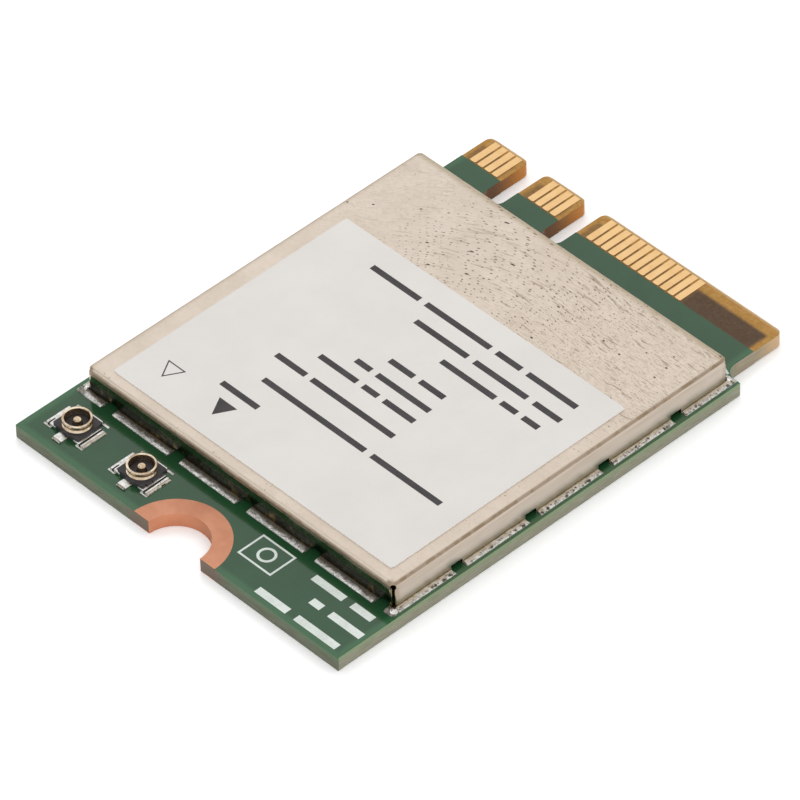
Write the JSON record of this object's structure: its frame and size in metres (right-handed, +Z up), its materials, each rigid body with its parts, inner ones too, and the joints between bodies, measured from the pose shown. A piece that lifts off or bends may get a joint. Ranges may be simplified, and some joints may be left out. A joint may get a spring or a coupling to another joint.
{
  "type": "wireless network card",
  "caption": "Thin radio card: a green board with a keyed card-edge tongue, a soldered shield can over its radio parts, antenna jacks and a plated screw notch.",
  "frame": {"origin": "under the middle of the board's outline, on its underside", "axes": "+Y along the card towards the card-edge tongue, +Z up from the underside to the shield can, +X across the card away from the antenna jacks"},
  "size_m": [0.022, 0.03, 0.0024],
  "materials": {
    "solder_mask": "green solder mask on glass laminate",
    "copper": "bare copper",
    "contact_gold": "gold plate",
    "tin": "tinned and soldered",
    "can_sheet": "rolled nickel silver, satin with fine scratches",
    "label_paper": "matt white label stock",
    "jack_gold": "gold plate",
    "jack_base": "black moulding",
    "chip_mould": "black moulded package",
    "crystal_case": "ceramic tray with a metal lid",
    "filter_ceramic": "white fired ceramic",
    "inductor_core": "grey moulded ferrite",
    "capacitor_ceramic": "brown fired ceramic",
    "resistor_ceramic": "black glazed ceramic"
  },
  "bodies": {
    "root": {"circuit_board": "solder_mask", "mounting_ring": "copper", "edge_contacts_top": "contact_gold", "edge_contacts_bottom": "contact_gold", "shield_lands": "tin", "shield_solder": "tin", "shield_can": "can_sheet", "label": "label_paper", "jack_lands": "tin", "jack_solder": "tin", "antenna_jack_a_housing": "jack_base", "antenna_jack_a_shell": "jack_gold", "antenna_jack_a_pin": "jack_gold", "antenna_jack_b_housing": "jack_base", "antenna_jack_b_shell": "jack_gold", "antenna_jack_b_pin": "jack_gold", "radio_chip": "chip_mould", "radio_terminals": "tin", "front_end_module_a": "chip_mould", "front_end_module_b": "chip_mould", "voltage_regulator": "chip_mould", "flash_memory": "chip_mould", "clock_crystal": "crystal_case", "band_filters": "filter_ceramic", "power_inductors": "inductor_core", "bypass_capacitors": "capacitor_ceramic", "chip_resistors": "resistor_ceramic"}
  },
  "joints": []
}
